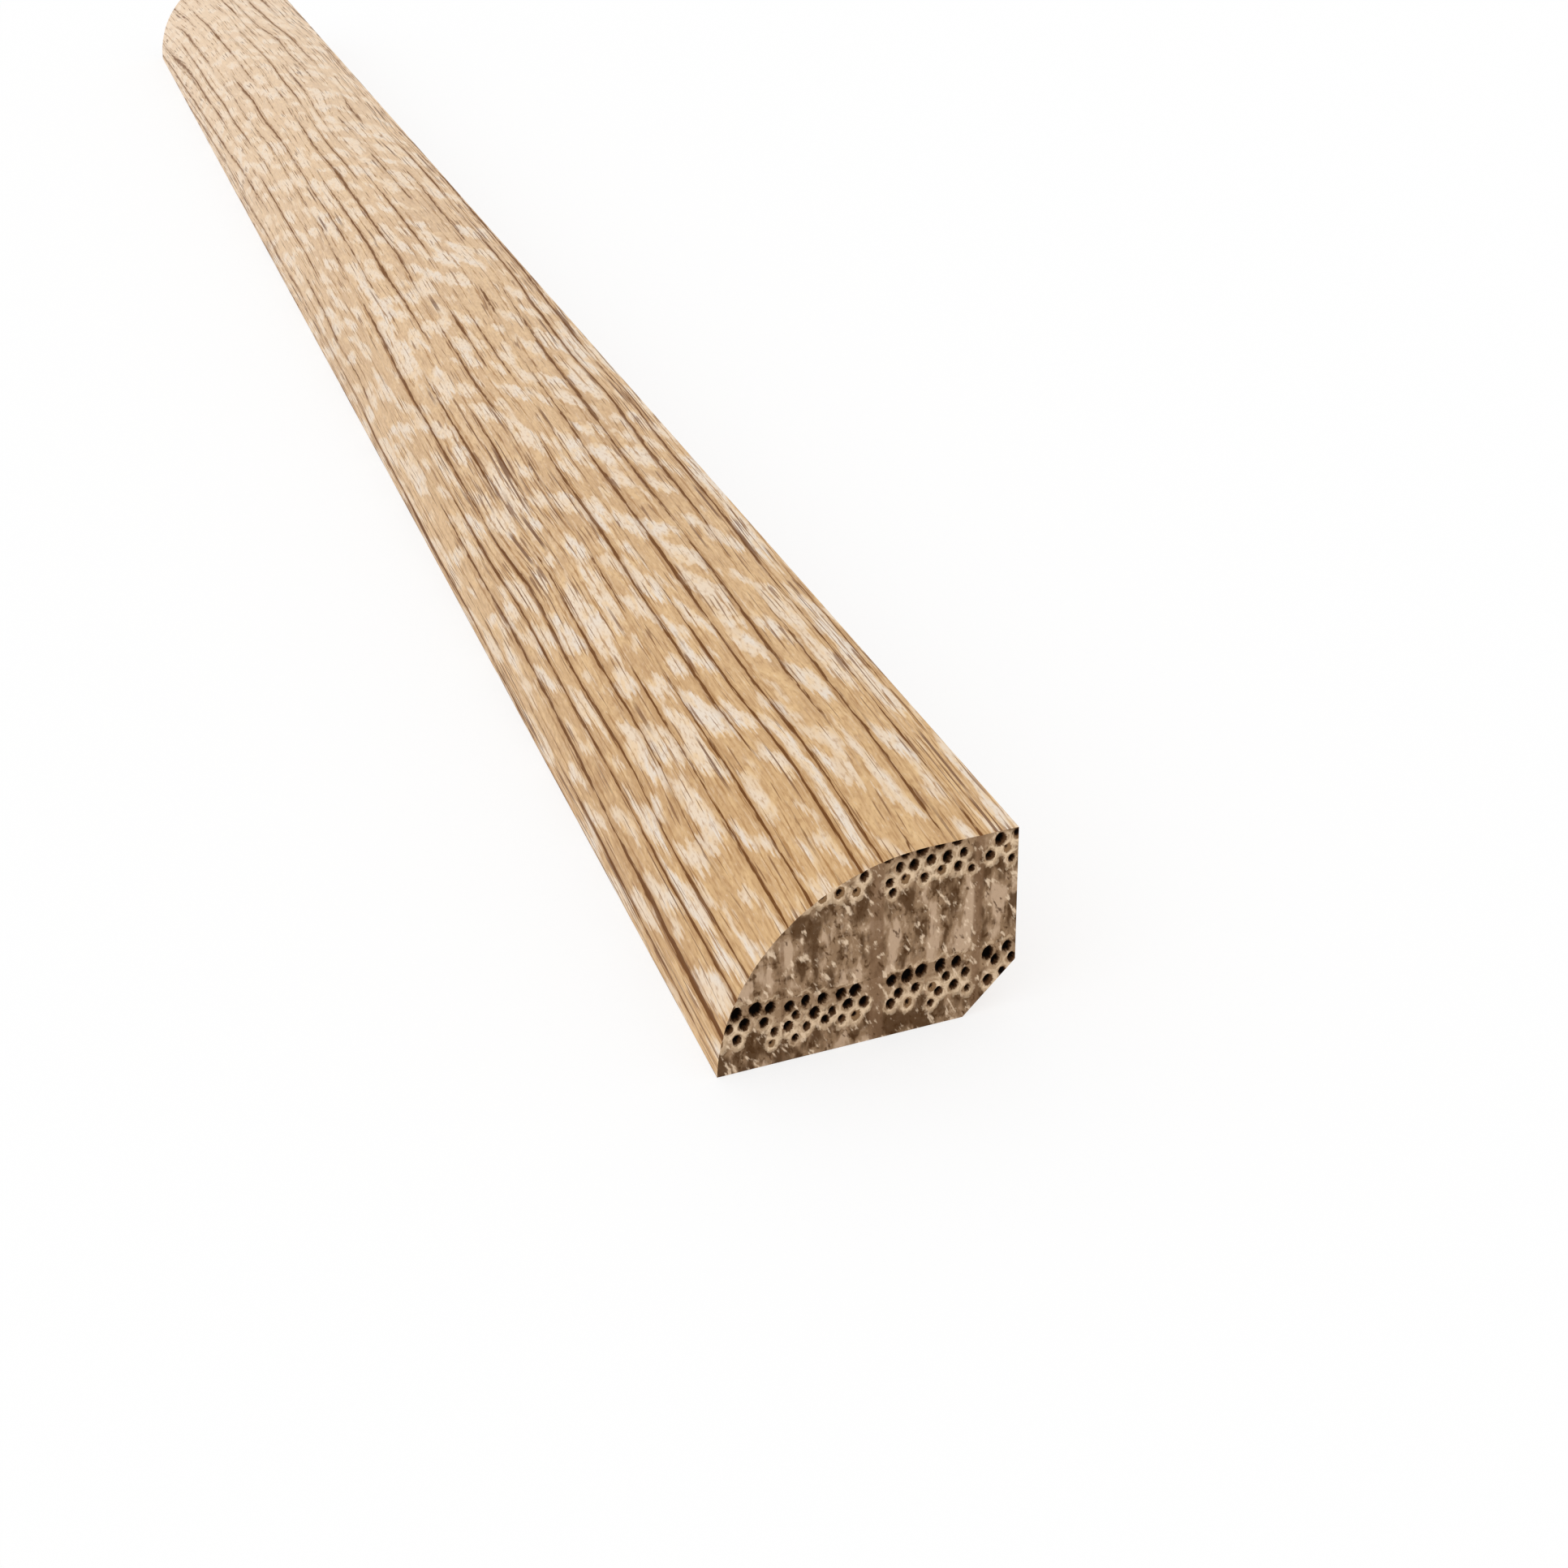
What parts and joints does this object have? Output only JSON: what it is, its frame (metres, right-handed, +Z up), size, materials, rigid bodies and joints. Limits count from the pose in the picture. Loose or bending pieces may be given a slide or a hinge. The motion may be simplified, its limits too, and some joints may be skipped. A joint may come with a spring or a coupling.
{
  "type": "shoe moulding",
  "caption": "Straight stick of prefinished oak shoe moulding with a rounded face, a relieved back corner and square-cut ends, for covering the joint between a floor and a skirting board.",
  "frame": {"origin": "middle of the underside of the stick's box, on the surface it lies on", "axes": "+Y along the length, +X from the toe to the narrow flat, +Z up from the wide flat"},
  "size_m": [0.019, 0.3048, 0.0127],
  "materials": {
    "oak": "limed oak under a satin lacquer on the shaped face, bare sawn oak on the ends, bare planed oak on the flats"
  },
  "bodies": {
    "root": {"shoe_moulding": "oak"}
  },
  "joints": []
}
